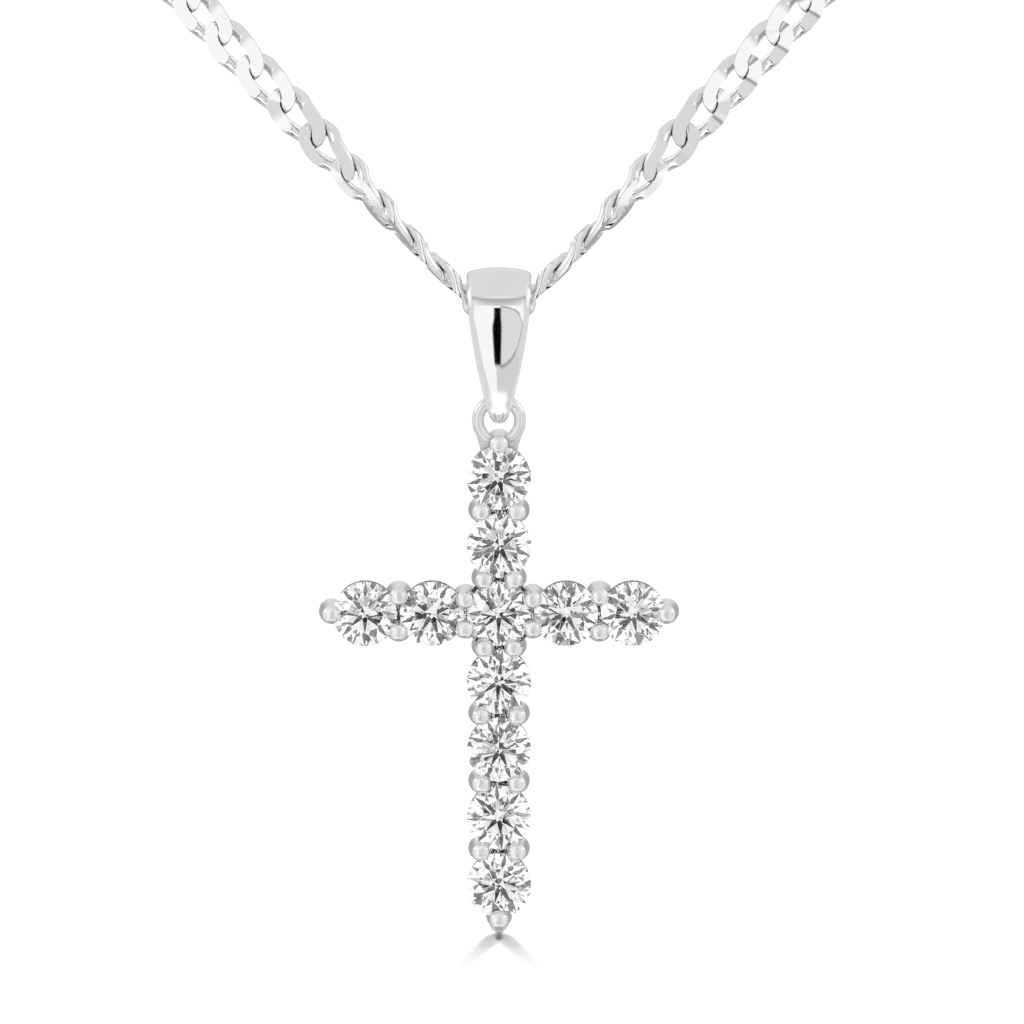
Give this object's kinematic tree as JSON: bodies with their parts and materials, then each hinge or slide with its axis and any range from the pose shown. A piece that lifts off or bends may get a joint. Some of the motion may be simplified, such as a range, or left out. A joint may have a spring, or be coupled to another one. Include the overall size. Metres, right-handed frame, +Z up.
{
  "type": "cross pendant on a chain",
  "caption": "Cross of round brilliants in a shared-prong setting, hung by a tapered bail on a flat curb chain that is a whole loop with a spring ring clasp.",
  "frame": {"origin": "nape of the neck, in the middle of the clasp, where the chain hangs", "axes": "+Z up, -Y towards the front, where the pendant hangs, +X to the right as seen from the front"},
  "size_m": [0.1294, 0.1111, 0.1417],
  "materials": {
    "white_gold": "polished, rhodium plated",
    "diamond": "faceted, clear"
  },
  "bodies": {
    "chain": {"chain": "white_gold", "clasp": "white_gold"},
    "bail": {"bail": "white_gold"},
    "cross": {"setting": "white_gold", "stone_middle": "diamond", "stone_top_1": "diamond", "stone_top_2": "diamond", "stone_bottom_1": "diamond", "stone_bottom_2": "diamond", "stone_bottom_3": "diamond", "stone_bottom_4": "diamond", "stone_left_1": "diamond", "stone_left_2": "diamond", "stone_right_1": "diamond", "stone_right_2": "diamond"}
  },
  "joints": [
    {"name": "bail_swing", "type": "hinge", "parent": "chain", "child": "bail", "pos_m": [0, -0.109, -0.11732], "axis": [1, 0, 0], "range_deg": [-80, 80]},
    {"name": "cross_swing", "type": "hinge", "parent": "bail", "child": "cross", "pos_m": [0, -0.109, -0.12098], "axis": [0, 1, 0], "range_deg": [-75, 75]}
  ]
}
